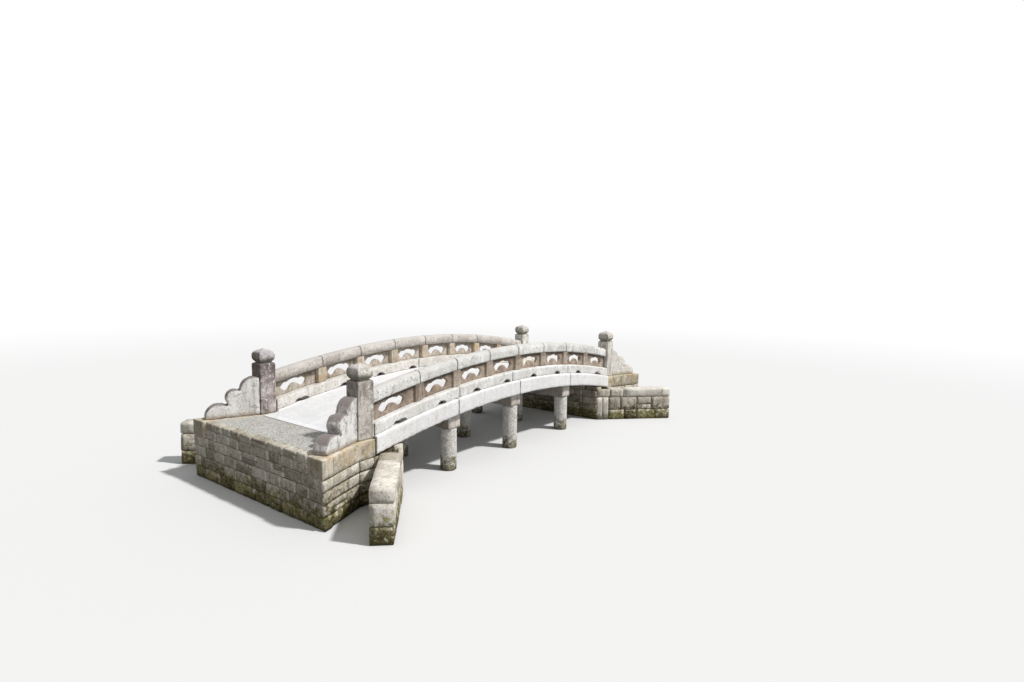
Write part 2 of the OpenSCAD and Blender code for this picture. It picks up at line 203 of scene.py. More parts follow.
class StoneSkin:
    """A stone material whose colour is laid on in coats, each over the one before."""

    def __init__(self, name, pale, mid, dark):
        self.material = bpy.data.materials.new(name)
        self.material.use_nodes = True
        self.tree = self.material.node_tree
        self.tree.nodes.clear()
        t = self.tree
        self.pale, self.mid, self.dark = pale, mid, dark
        self.place = put(t, "ShaderNodeTexCoord").outputs["Object"]
        self.normal = put(t, "ShaderNodeNewGeometry").outputs["Normal"]
        self.across, _, self.height = apart(t, self.place)
        self.facing, _, self.up = apart(t, self.normal)
        self.each = put(t, "ShaderNodeAttribute", attribute_name="each_stone").outputs["Fac"]
        self.edge = put(t, "ShaderNodeAttribute", attribute_name="worn_edge").outputs["Fac"]
        # every stone has its own piece of each pattern
        own = vector(t, self.each, self.each, self.each)
        self.shifted = vcalc(t, "ADD", self.place, times(t, own, 7.3))
        self.upright = fade(t, calc(t, "ABSOLUTE", self.up), 0.35, 0.75, 1.0, 0.0)
        self.fine = mottle(t, self.place, 95.0, 3.0, 0.7)
        self.coarse = mottle(t, self.shifted, 24.0, 5.0, 0.75)
        self.colour = pale

    def coat(self, amount, shade, mode="MIX"):
        self.colour = blended(self.tree, amount, self.colour, shade, mode)

    def over_deck(self):
        """Height over the deck's arc."""
        t = self.tree
        drop = calc(t, "SQRT", minus(t, DECK_RADIUS ** 2, product(t, self.across, self.across)))
        line = calc(t, "MAXIMUM", total(t, drop, DECK_END + DECK_RISE - DECK_RADIUS), DECK_END)
        return minus(t, self.height, line)

    def clouds(self, size, grain, second):
        t = self.tree
        broad = mottle(t, self.shifted, size, 5.0, 0.6, 0.4)
        self.patches = mottle(t, self.shifted, size * 5.5, 5.0, 0.65, 0.3)
        self.coat(fade(t, broad, 0.40, 0.60), self.mid)
        if second:
            # some stones of the wall are of another tone
            pick = calc(t, "FRACT", product(t, self.each, 13.7))
            self.coat(fade(t, pick, 0.45, 0.9), second)
        self.coat(fade(t, self.patches, 0.48, 0.66, 0.0, 0.7), self.mid)
        self.coat(product(t, fade(t, self.coarse, 0.50, 0.66), grain * 0.7), self.dark)
        self.coat(product(t, fade(t, self.coarse, 0.47, 0.34), grain * 0.5), self.pale)

    def rain_streaks(self, amount):
        """Dark runs and washed stripes down the upright faces."""
        t = self.tree
        tall = put(t, "ShaderNodeMapping", {"Vector": self.shifted, "Scale": (1.0, 1.0, 0.10)}).outputs[0]
        runs = mottle(t, tall, 12.0, 5.0, 0.68, 0.2)
        dark_runs = product(t, fade(t, runs, 0.51, 0.66), self.upright)
        self.coat(product(t, dark_runs, amount), self.dark)
        washed = product(t, fade(t, runs, 0.36, 0.46, 1.0, 0.0), self.upright)
        self.coat(product(t, washed, amount * 0.6), self.pale)

    def grain_and_blots(self, grain, blots, specks):
        """Grain, blots the size of a hand and specks the size of a coin, each in its own places."""
        t = self.tree
        grit = blended(t, self.fine, tone(60, 56, 50), tone(255, 254, 250))
        self.coat(grain, grit, "SOFT_LIGHT")
        rag = ragged(t, self.shifted, 9.0, (2.2, 7.1, 0.9), 6.0, 0.78, 0.3)
        where = fade(t, ragged(t, self.shifted, 1.7, (6.2, 1.1, 3.9), 2.0, 0.5), 0.36, 0.62, 0.35, 1.0)
        blot = product(t, fade(t, rag, 0.545, 0.60), where)
        self.coat(product(t, blot, blots), self.dark)
        rag = ragged(t, self.shifted, 38.0, (0.4, 3.3, 8.1), 3.0, 0.7, 0.0)
        where = fade(t, mottle(t, self.shifted, 6.0, 4.0, 0.7), 0.44, 0.62)
        self.specks = product(t, fade(t, rag, 0.56, 0.64), where)
        self.coat(product(t, self.specks, specks), SPECK_TONE)

    def broken_skin(self, amount):
        """The coarse broken skin of split stone."""
        t = self.tree
        self.pits = ragged(t, self.shifted, 26.0, (3.3, 9.1, 5.7), 3.0, 0.6, 0.2)
        self.coat(fade(t, self.pits, 0.50, 0.60, 0.0, amount), self.dark)
        self.coat(fade(t, self.pits, 0.46, 0.38, 0.0, amount), self.pale)

    def crust(self, shade, share):
        t = self.tree
        rag = mottle(t, self.shifted, 6.5, 6.0, 0.7, 0.6)
        grown = fade(t, rag, 0.60 - 0.22 * share, 0.66 - 0.12 * share)
        self.coat(product(t, grown, 0.85), shade)

    def weathered_tops(self, shade, amount):
        """The tone of the faces that look up."""
        t = self.tree
        rag = mottle(t, self.shifted, 9.0, 6.0, 0.75, 0.4)
        level = fade(t, total(t, self.up, product(t, rag, 0.9)), 0.70, 1.05)
        self.coat(product(t, level, amount), shade)

    def ochre(self, amount):
        t = self.tree
        rag = ragged(t, self.shifted, 3.6, (5.1, 0.2, 1.4), 4.0, 0.6, 0.4)
        self.coat(product(t, fade(t, rag, 0.47, 0.63), amount), OCHRE_TONE)

    def band(self, full, none, shade, amount):
        """A tone that is full at one height and has ended at another."""
        t = self.tree
        rag = minus(t, ragged(t, self.place, 9.0, (4.0, 0.3, 0.0), 6.0, 0.75), 0.5)
        where = total(t, self.height, product(t, rag, abs(full - none) * 1.6))
        self.coat(fade(t, where, full, none, amount, 0.0), shade)

    def lichen(self, amount):
        t = self.tree
        rag = ragged(t, self.shifted, 10.0, (3.1, 1.7, 0.4), 6.0, 0.78)
        self.coat(product(t, fade(t, rag, 0.565, 0.61), amount), LICHEN_PALE)
        rag = ragged(t, self.shifted, 13.0, (0.3, 5.7, 2.4))
        self.coat(product(t, fade(t, rag, 0.60, 0.66), amount * 0.7), LICHEN_OLIVE)

    def painted_shade_and_grime(self, full, none, amount):
        """Painted shade and grime that follow the deck's arc, full at one height over it and ended at
        another.
        """
        t = self.tree
        rag = minus(t, ragged(t, self.shifted, 7.0, (8.2, 0.6, 1.5), 6.0, 0.75), 0.5)
        where = total(t, self.over_deck(), product(t, rag, 0.25))
        self.coat(fade(t, where, full, none, amount, 0.0), SHADE_AND_GRIME_TONE)

    def drain_stains_and_shade(self, amount):
        """Darker round each bay's drain notch: a wet stain, and painted shade in the notch."""
        t = self.tree
        bay = calc(t, "FRACT", total(t, calc(t, "DIVIDE", self.across, BAY), 20.0))
        beside = product(t, minus(t, bay, 0.5), BAY / DRAIN_HALF_WIDE)
        above = calc(t, "DIVIDE", self.over_deck(), DRAIN_HIGH)
        reach = calc(t, "SQRT", total(t, product(t, beside, beside), product(t, above, above)))
        reach = total(t, reach, product(t, mottle(t, self.place, 30.0, 4.0, 0.7), 0.5))
        self.coat(fade(t, reach, 1.10, 1.40, amount, 0.0), WET_AND_SHADE_TONE)

    def joint_faces(self, amount):
        """Dark end faces, which show as the joints between long stones."""
        t = self.tree
        self.coat(fade(t, calc(t, "ABSOLUTE", self.facing), 0.50, 0.85, 0.0, amount), JOINT_TONE)

    def damp_and_shade_side(self, shade, amount):
        """The sides turned away from the sun are darker: damp, and painted shade."""
        t = self.tree
        away = measured(t, "DOT_PRODUCT", self.normal, SHADED_WAY)
        rag = ragged(t, self.shifted, 6.0, (1.3, 2.9, 4.4), 6.0, 0.7)
        where = total(t, fade(t, away, 0.15, 0.85), product(t, rag, 0.9))
        self.coat(product(t, fade(t, where, 0.85, 1.35), amount), shade)

    def moss(self, amount, top):
        """Ragged moss and a dark line at the foot."""
        t = self.tree
        rag = mottle(t, self.place, 9.0, 6.0, 0.75, 0.5)
        rise = minus(t, self.height, product(t, fade(t, rag, 0.30, 0.72), top * 1.5))
        dry = fade(t, mottle(t, self.place, 24.0, 5.0, 0.75), 0.34, 0.66)
        brown = blended(t, dry, MOSS_BROWN, MOSS_STRAW)
        green = blended(t, fade(t, mottle(t, self.place, 6.0, 4.0, 0.6), 0.48, 0.64), brown, MOSS_GREEN)
        self.coat(product(t, fade(t, rise, -0.10, 0.10, 1.0, 0.0), amount), green)
        self.coat(fade(t, rise, -top * 0.95, -top * 0.45, 0.75, 0.0), FOOT_TONE)

    def own_lightness(self, amount):
        t = self.tree
        shade = blended(t, self.each, tone(20, 18, 15), tone(255, 255, 255))
        self.coat(amount, shade, "SOFT_LIGHT")

    def finished(self, bump, pits):
        """Roughness and relief, and the shader that takes them all."""
        t = self.tree
        rough = total(t, 0.80, product(t, self.fine, 0.16))
        relief = total(t, product(t, self.fine, 0.0024), product(t, self.patches, 0.008))
        relief = total(t, relief, product(t, self.coarse, 0.007))
        relief = minus(t, relief, product(t, self.specks, 0.003))
        if pits:
            relief = minus(t, relief, product(t, fade(t, self.pits, 0.44, 0.62), 0.012 * pits))
        bumped = put(t, "ShaderNodeBump", {"Strength": bump, "Distance": 1.0, "Height": relief}).outputs[0]
        shader = put(t, "ShaderNodeBsdfPrincipled", {"Base Color": self.colour, "Roughness": rough,
                                                     "Normal": bumped, "Specular IOR Level": 0.25})
        put(t, "ShaderNodeOutputMaterial", {0: shader.outputs[0]})
        return self.material


def stone_finish(name, pale, mid, dark, cloud=2.2, grain=0.4, second=None, streaks=0.5, blots=0.6,
                 specks=0.7, pits=0.0, crust=None, crusted=0.0, tops=None, topped=0.0, ochre=0.0, bands=(),
                 lichen=0.0, shade_and_grime=None, drain_stain_and_shade=0.0, joints=0.0, damp_and_shade=0.0, damp_and_shade_tone=DAMP_AND_SHADE_TONE, moss=0.0,
                 moss_top=0.35, tint=0.1, bump=0.5):
    """Weathered stone. Each band is a height where its tone is full, a height where it has ended, the tone
    and its amount. The painted shade and grime: full and ended heights over the deck, and amount."""
    skin = StoneSkin(name, pale, mid, dark)
    skin.clouds(cloud, grain, second)
    skin.rain_streaks(streaks)
    skin.grain_and_blots(grain, blots, specks)
    if pits:
        skin.broken_skin(pits)
    if crust:
        skin.crust(crust, crusted)
    if tops:
        skin.weathered_tops(tops, topped)
    if ochre:
        skin.ochre(ochre)
    for full, none, shade, amount in bands:
        skin.band(full, none, shade, amount)
    if lichen:
        skin.lichen(lichen)
    # painted shade and grime, following the deck's arc
    if shade_and_grime:
        skin.painted_shade_and_grime(*shade_and_grime)
    # wet stains, and painted shade in the drain notches
    if drain_stain_and_shade:
        skin.drain_stains_and_shade(drain_stain_and_shade)
    if joints:
        skin.joint_faces(joints)
    if damp_and_shade:
        # damp, and painted shade on the sides away from the sun
        skin.damp_and_shade_side(damp_and_shade_tone, damp_and_shade)
    # worn arrises are a little paler
    skin.coat(product(skin.tree, skin.edge, 0.2), pale)
    if moss:
        skin.moss(moss, moss_top)
    skin.own_lightness(tint)
    return skin.finished(bump, pits)


def gravel_finish():
    """Rammed gravel of stones about 25 mm across, in greys and a few browns."""
    made = bpy.data.materials.new("packed_gravel")
    made.use_nodes = True
    t = made.node_tree
    t.nodes.clear()
    place = put(t, "ShaderNodeTexCoord").outputs["Object"]
    size = 38.0
    moved = vcalc(t, "ADD", place, times(t, mottle(t, place, size * 1.2, output=1), 0.010))
    pebbles = put(t, "ShaderNodeTexVoronoi", {"Vector": moved, "Scale": size, "Randomness": 1.0},
                  feature="F1").outputs
    from_middle = pebbles["Distance"]
    pick = apart(t, pebbles["Color"])
    colour = blended(t, pick[0], tone(160, 158, 154), tone(232, 232, 228))
    colour = blended(t, fade(t, pick[1], 0.75, 0.95), colour, tone(176, 162, 138))
    wide = blended(t, mottle(t, place, 2.2, 5.0, 0.6), tone(150, 148, 140), tone(244, 244, 242))
    colour = blended(t, 0.35, colour, wide)
    colour = blended(t, fade(t, from_middle, 0.50, 0.74, 0.0, 0.6), colour, tone(104, 100, 92))
    grit = mottle(t, place, 240.0, 2.0, 0.6)
    colour = blended(t, 0.3, colour, blended(t, grit, tone(70, 66, 60), tone(250, 250, 248)), "SOFT_LIGHT")
    relief = total(t, fade(t, from_middle, 0.10, 0.62, 0.008, 0.0), product(t, grit, 0.001))
    bumped = put(t, "ShaderNodeBump", {"Strength": 0.9, "Distance": 1.0, "Height": relief}).outputs[0]
    shader = put(t, "ShaderNodeBsdfPrincipled", {"Base Color": colour, "Roughness": 0.92, "Normal": bumped,
                                                 "Specular IOR Level": 0.2})
    put(t, "ShaderNodeOutputMaterial", {0: shader.outputs[0]})
    return made


# Some finishes paint shade along with dirt: under the rails over the deck, on the sides away from the sun,
# in the drain notches and at the caps' necks
rail_stone = stone_finish(
    "rail_stone", tone(248, 248, 245), tone(224, 223, 219), tone(128, 123, 115), specks=0.8, blots=0.65,
    streaks=0.28, lichen=0.15, tops=tone(204, 200, 195), topped=0.6, tint=0.12, joints=0.7)
rail_far_stone = stone_finish(
    "rail_far_stone", tone(218, 212, 205), tone(196, 188, 180), tone(116, 106, 98), specks=0.85, blots=0.5,
    streaks=0.18, lichen=0.25, tops=tone(204, 199, 196), topped=0.6, tint=0.12, joints=0.45,
    shade_and_grime=(0.62, 0.76, 0.6))
base_stone = stone_finish(
    "base_stone", tone(248, 247, 245), tone(229, 227, 223), tone(136, 130, 120), blots=0.5, streaks=0.2,
    lichen=0.10, joints=0.7, drain_stain_and_shade=0.9)
base_far_stone = stone_finish(
    "base_far_stone", tone(234, 231, 226), tone(213, 208, 201), tone(136, 126, 116), blots=0.5, streaks=0.15,
    lichen=0.15, joints=0.7, drain_stain_and_shade=0.9)
beam_stone = stone_finish(
    "beam_stone", tone(253, 253, 253), tone(244, 243, 242), tone(166, 161, 153), specks=0.35, blots=0.35,
    streaks=0.15, lichen=0.08, tint=0.08, cloud=1.6, grain=0.3, joints=0.7)
cap_beam_stone = stone_finish(
    "cap_beam_stone", tone(232, 225, 217), tone(206, 197, 187), tone(122, 112, 100), specks=0.6, blots=0.5,
    streaks=0.4, lichen=0.2, tint=0.08, damp_and_shade=0.5)
deck_stone = stone_finish(
    "deck_stone", tone(240, 240, 241), tone(229, 229, 230), tone(172, 168, 160), specks=0.25, blots=0.2,
    streaks=0.0, tint=0.12, cloud=1.4, grain=0.25, joints=0.7)
panel_stone = stone_finish(
    "panel_stone", tone(188, 173, 160), tone(160, 144, 130), tone(98, 83, 72), lichen=0.25, ochre=0.1,
    tint=0.25, cloud=3.0, shade_and_grime=(0.60, 0.42, 0.7))
panel_far_stone = stone_finish(
    "panel_far_stone", tone(210, 201, 190), tone(180, 169, 156), tone(104, 92, 82), lichen=0.2, ochre=0.08,
    tint=0.25, cloud=3.0, shade_and_grime=(0.60, 0.42, 0.5))
post_stone = stone_finish(
    "post_stone", tone(196, 183, 170), tone(166, 151, 138), tone(98, 84, 73), lichen=0.25, ochre=0.1,
    tint=0.30, cloud=3.0, shade_and_grime=(0.62, 0.48, 0.45))
post_far_stone = stone_finish(
    "post_far_stone", tone(214, 203, 188), tone(186, 172, 153), tone(112, 98, 83), specks=0.6, blots=0.5,
    lichen=0.15, ochre=0.5, tint=0.30, cloud=3.0)


def newel_finish(name, pale, mid, crust, head, damp_and_shade=0.6):
    """Newels are crusted, and darker towards their heads."""
    return stone_finish(
        name, pale, mid, tone(88, 78, 72), crust=crust, crusted=0.35, specks=0.8, blots=0.7, streaks=0.7,
        lichen=0.85, tops=tone(84, 80, 62), topped=0.8, cloud=3.0, damp_and_shade=damp_and_shade,
        damp_and_shade_tone=tone(82, 74, 62), bands=((NEWEL_TOP, NEWEL_TOP - 0.55, tone(98, 86, 82), head),))


def cap_finish(name, pale, mid, crust, neck_moss_and_shade, damp_and_shade=0.75):
    """Caps have a darker neck over the newel's head: moss, and painted shade under the cap's swell."""
    return stone_finish(
        name, pale, mid, tone(100, 92, 86), crust=crust, crusted=0.35, blots=0.55, streaks=0.2,
        lichen=0.55, tops=tone(190, 184, 184), topped=0.5, cloud=3.5, damp_and_shade=damp_and_shade,
        # the neck band is moss and painted shade under the cap's swell
        damp_and_shade_tone=tone(90, 82, 66), bands=((NEWEL_TOP + 0.04, NEWEL_TOP + 0.15, neck_moss_and_shade, 0.8),))


newel_stone = newel_finish(
    "newel_stone", tone(220, 214, 207), tone(186, 179, 172), tone(160, 150, 146), 0.35, damp_and_shade=0.35)
newel_dark_stone = newel_finish(
    "newel_dark_stone", tone(196, 187, 185), tone(158, 148, 147), tone(118, 105, 104), 0.75)
newel_pale_stone = newel_finish(
    "newel_pale_stone", tone(252, 249, 242), tone(230, 225, 216), tone(192, 185, 174), 0.05, damp_and_shade=0.25)
cap_stone = cap_finish(
    "cap_stone", tone(216, 214, 215), tone(182, 177, 179), tone(150, 140, 144), tone(72, 74, 58))
cap_pale_stone = cap_finish(
    "cap_pale_stone", tone(246, 243, 235), tone(216, 211, 202), tone(178, 170, 162), tone(104, 108, 88),
    damp_and_shade=0.4)
wing_stone = stone_finish(
    "wing_stone", tone(242, 241, 240), tone(220, 217, 214), tone(118, 108, 102), specks=0.8, blots=0.7,
    lichen=0.3, tops=tone(134, 124, 120), topped=0.95, cloud=2.6,
    bands=((ROAD + 0.01, ROAD + 0.12, tone(150, 134, 114), 0.8),), damp_and_shade=0.5,
    damp_and_shade_tone=tone(110, 100, 92))
wing_pale_stone = stone_finish(
    "wing_pale_stone", tone(253, 251, 247), tone(236, 231, 224), tone(150, 140, 128), blots=0.5,
    streaks=0.4, lichen=0.5, tops=tone(186, 178, 168), topped=0.9, cloud=2.6,
    bands=((ROAD + 0.01, ROAD + 0.14, tone(176, 160, 122), 0.8),), damp_and_shade=0.5,
    damp_and_shade_tone=tone(130, 122, 104))
kerb_stone = stone_finish(
    "kerb_stone", tone(230, 222, 208), tone(200, 189, 172), tone(116, 104, 88), crust=tone(164, 152, 108),
    crusted=0.45, streaks=0.6, lichen=0.3, ochre=0.4, damp_and_shade=0.6)
column_stone = stone_finish(
    "column_stone", tone(253, 251, 247), tone(242, 239, 232), tone(150, 143, 128), specks=0.6, blots=0.35,
    streaks=0.3, lichen=0.5, moss=0.8, moss_top=0.34, grain=0.5, bump=1.0, pits=0.45,
    crust=tone(226, 222, 212), crusted=0.2, cloud=4.0)
rubble_stone = stone_finish(
    "rubble_stone", tone(244, 238, 226), tone(214, 205, 189), tone(116, 107, 90), crust=tone(150, 140, 116),
    crusted=0.35, streaks=0.45, lichen=0.35, moss=0.95, moss_top=0.46, tint=0.6, cloud=4.0, bump=0.9,
    second=tone(198, 192, 178), pits=0.25, tops=tone(166, 158, 140), topped=0.4, damp_and_shade=0.5)
coping_stone = stone_finish(
    "coping_stone", tone(246, 242, 234), tone(228, 222, 211), tone(140, 132, 116), streaks=0.4, lichen=0.4,
    tint=0.3, cloud=3.0, bump=0.8, moss=0.6, moss_top=0.20)
joint_earth = stone_finish(
    "joint_earth", tone(124, 114, 92), tone(98, 88, 68), tone(58, 51, 38), specks=0.5, blots=0.3,
    streaks=0.1, moss=0.8, moss_top=0.4, grain=0.8, bump=1.0)
packed_gravel = gravel_finish()


# Geometry node helpers

def new_rule(name, inputs):
    """An empty geometry tree that takes and gives a geometry, with named inputs for the rest."""
    tree = bpy.data.node_groups.new(name, "GeometryNodeTree")
    for label, kind in (("Stone", "NodeSocketGeometry"), *inputs):
        tree.interface.new_socket(label, in_out="INPUT", socket_type=kind)
    tree.interface.new_socket("Stone", in_out="OUTPUT", socket_type="NodeSocketGeometry")
    return tree, put(tree, "NodeGroupInput").outputs


def identifiers(tree):
    return {s.name: s.identifier for s in tree.interface.items_tree if s.in_out == "INPUT"}


def own_numbers(tree, name, kind="FLOAT"):
    return put(tree, "GeometryNodeInputNamedAttribute", {"Name": name}, data_type=kind).outputs[0]


def stored(tree, stone, name, value, kind="FLOAT"):
    return put(tree, "GeometryNodeStoreNamedAttribute", {0: stone, "Name": name, "Value": value},
               data_type=kind, domain="POINT").outputs[0]


def here(tree):
    return put(tree, "GeometryNodeInputPosition").outputs[0]


def shifted_by(tree, own, amount):
    """The position moved by each stone's own number, so that no two stones share a pattern."""
    return vcalc(tree, "ADD", here(tree), times(tree, vector(tree, own, own, own), amount))


def kept_above(tree, stone, foot, place=None):
    """Lifts what has sunk below the foot."""
    east, north, tall = apart(tree, place or here(tree))
    level = vector(tree, east, north, calc(tree, "MAXIMUM", tall, foot))
    return put(tree, "GeometryNodeSetPosition", {0: stone, "Position": level}).outputs[0]


# Worn stone

def worn_stone_tree():
    """Rounds and chips the arrises of a stone, makes its faces uneven, and marks edges and stones."""
    tree, given = new_rule("worn_stone", (
        ("Arrises", "NodeSocketObject"), ("Wear width", "NodeSocketFloat"),
        ("Wear depth", "NodeSocketFloat"), ("Unevenness", "NodeSocketFloat"),
        ("Wave size", "NodeSocketFloat"), ("Seed", "NodeSocketInt"), ("Finish", "NodeSocketMaterial")))

    sharp = put(tree, "GeometryNodeObjectInfo", {0: given["Arrises"]}).outputs["Geometry"]
    angle = put(tree, "GeometryNodeInputMeshEdgeAngle").outputs[0]
    kept = put(tree, "FunctionNodeCompare", {0: angle, 1: 0.6}, operation="GREATER_THAN").outputs[0]
    sharp = put(tree, "GeometryNodeSeparateGeometry", {0: sharp, 1: kept}, domain="EDGE").outputs[0]
    place = here(tree)
    near = put(tree, "GeometryNodeProximity", {0: sharp, "Sample Position": place},
               target_element="EDGES").outputs["Distance"]
    edge = fade(tree, near, 0.0, given["Wear width"], 1.0, 0.0)

    island = put(tree, "GeometryNodeInputMeshIsland").outputs[0]
    own = put(tree, "FunctionNodeRandomValue", {2: 0.0, 3: 1.0, "ID": island, "Seed": given["Seed"]},
              data_type="FLOAT").outputs[1]
    moved = shifted_by(tree, own, 11.0)

    chips = fade(tree, mottle(tree, moved, 11.0, 4.0, 0.65), 0.46, 0.72, 0.25, 1.7)
    cut = product(tree, product(tree, edge, chips), given["Wear depth"])
    # waves only cut into the faces, so that the stone stays inside its own box
    waves = minus(tree, mottle(tree, moved, given["Wave size"], 3.0, 0.5), 0.74)
    push = minus(tree, product(tree, waves, given["Unevenness"]), cut)
    normal = put(tree, "GeometryNodeInputNormal").outputs[0]
    stone = put(tree, "GeometryNodeSetPosition", {0: given["Stone"], "Offset": times(tree, normal, push)})
    stone = kept_above(tree, stone.outputs[0], 0.0005, place)
    stone = stored(tree, stone, "worn_edge", edge)
    stone = stored(tree, stone, "each_stone", own)
    stone = put(tree, "GeometryNodeSetShadeSmooth", {0: stone}).outputs[0]
    stone = put(tree, "GeometryNodeRealizeInstances", {0: stone}).outputs[0]
    stone = put(tree, "GeometryNodeSetMaterial", {0: stone, "Material": given["Finish"]}).outputs[0]
    put(tree, "NodeGroupOutput", {0: stone})
    return tree


def shown(mesh, name):
    made = bpy.data.objects.new(name, mesh)
    bpy.context.scene.collection.objects.link(made)
    return made


def cleared(*things):
    for thing in things:
        mesh = thing.data
        bpy.data.objects.remove(thing)
        bpy.data.meshes.remove(mesh)


def evaluated(thing, name):
    """The plain mesh that a thing's modifiers make."""
    graph = bpy.context.evaluated_depsgraph_get()
    mesh = bpy.data.meshes.new_from_object(thing.evaluated_get(graph), depsgraph=graph)
    mesh.name = name
    return mesh


def ruled(thing, tree, sizes):
    """Puts a geometry tree on a thing, with its inputs set by name."""
    rule = thing.modifiers.new(tree.name, "NODES")
    rule.node_group = tree
    sockets = identifiers(tree)
    for name, value in sizes.items():
        rule[sockets[name]] = value


def settle(mesh, name, node):
    """Shows a finished mesh in the place of a node."""
    made = shown(mesh, name)
    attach(made, "root")
    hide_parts(node)


def merged(node):
    """A node's mesh with its corners joined."""
    bm = bmesh.new()
    bm.from_mesh(cad[node].data)
    bmesh.ops.remove_doubles(bm, verts=bm.verts, dist=1e-5)
    mesh = bpy.data.meshes.new(node + "_arrises")
    bm.to_mesh(mesh)
    bm.free()
    return mesh


def touching_faces(start, left):
    """All the faces of the closed stone that a face belongs to, taken out of those left."""
    group, row = [start], [start]
    while row:
        for e in row.pop().edges:
            for f in e.link_faces:
                if f in left:
                    left.remove(f)
                    group.append(f)
                    row.append(f)
    return sorted(group, key=lambda f: f.index)


def separate_stones(mesh):
    """Each closed stone of a mesh as a mesh of its own."""
    bm = bmesh.new()
    bm.from_mesh(mesh)
    left = set(bm.faces)
    stones = []
    while left:
        group = touching_faces(left.pop(), left)
        number = {}
        for f in group:
            for v in f.verts:
                number.setdefault(v, len(number))
        part = bpy.data.meshes.new("stone")
        part.from_pydata([v.co for v in number], [], [[number[v] for v in f.verts] for f in group])
        stones.append((group[0].index, part))
    bm.free()
    return [part for _, part in sorted(stones, key=lambda s: s[0])]


WORN = worn_stone_tree()


def even_faces(mesh, name, cell):
    """Every stone of a mesh again, in even cells."""
    together = bmesh.new()
    for part in separate_stones(mesh):
        block = shown(part, "block")
        remesh = block.modifiers.new("even", "REMESH")
        remesh.mode = "VOXEL"
        remesh.voxel_size = cell
        fine = evaluated(block, "fine")
        together.from_mesh(fine)
        bpy.data.meshes.remove(fine)
        cleared(block)
    made = bpy.data.meshes.new(name)
    together.to_mesh(made)
    together.free()
    return made


def worn(node, finish, slot, number, cell, width, depth, uneven, wave, seed):
    """Replaces a node by its stones, each with worn arrises and uneven faces. Number tells apart the nodes
    of one kind, so that each wears in its own way."""
    arrises = shown(merged(node), node + "_arrises")
    work = shown(even_faces(arrises.data, node + "_even", cell), node + "_even")
    ruled(work, WORN, {"Arrises": arrises, "Wear width": width, "Wear depth": depth, "Unevenness": uneven,
                       "Wave size": wave, "Seed": seed + number, "Finish": finish})
    mesh = evaluated(work, node + "_stone")
    cleared(work, arrises)
    settle(mesh, node + "_stone", node)


# Rubble masonry

def rounded(tree, unit, size, radius):
    """How far each point is pulled in so that all arrises of a block get the same radius, and where."""
    local = vcalc(tree, "MULTIPLY", unit, size)
    inner = vcalc(tree, "SUBTRACT", times(tree, size, 0.5), vector(tree, radius, radius, radius))
    past = vcalc(tree, "MAXIMUM", vcalc(tree, "SUBTRACT", vcalc(tree, "ABSOLUTE", local), inner))
    length = measured(tree, "LENGTH", past)
    over = calc(tree, "MAXIMUM", minus(tree, length, radius), 0.0)
    share = calc(tree, "DIVIDE", over, calc(tree, "MAXIMUM", length, 0.001))
    pull = vcalc(tree, "MULTIPLY", times(tree, past, product(tree, share, -1.0)), vcalc(tree, "SIGN", unit))
    return pull, over


def bulged(tree, unit, bulge):
    """How far the middle of the face towards -Y of the block swells."""
    def hump(v):
        return minus(tree, 1.0, product(tree, product(tree, v, v), 4.0))
    wide, deep, high = apart(tree, unit)
    front = calc(tree, "LESS_THAN", deep, -0.49)
    swell = product(tree, product(tree, hump(wide), hump(high)), front)
    return vector(tree, y=product(tree, swell, bulge))


def skewed(tree, unit, size):
    """How far a corner stone's points shift so that its end lies along the next face."""
    _, deep, _ = apart(tree, size)
    _, local, _ = apart(tree, vcalc(tree, "MULTIPLY", unit, size))
    behind = total(tree, local, product(tree, deep, 0.5))
    return vector(tree, x=product(tree, behind, own_numbers(tree, "skew")))


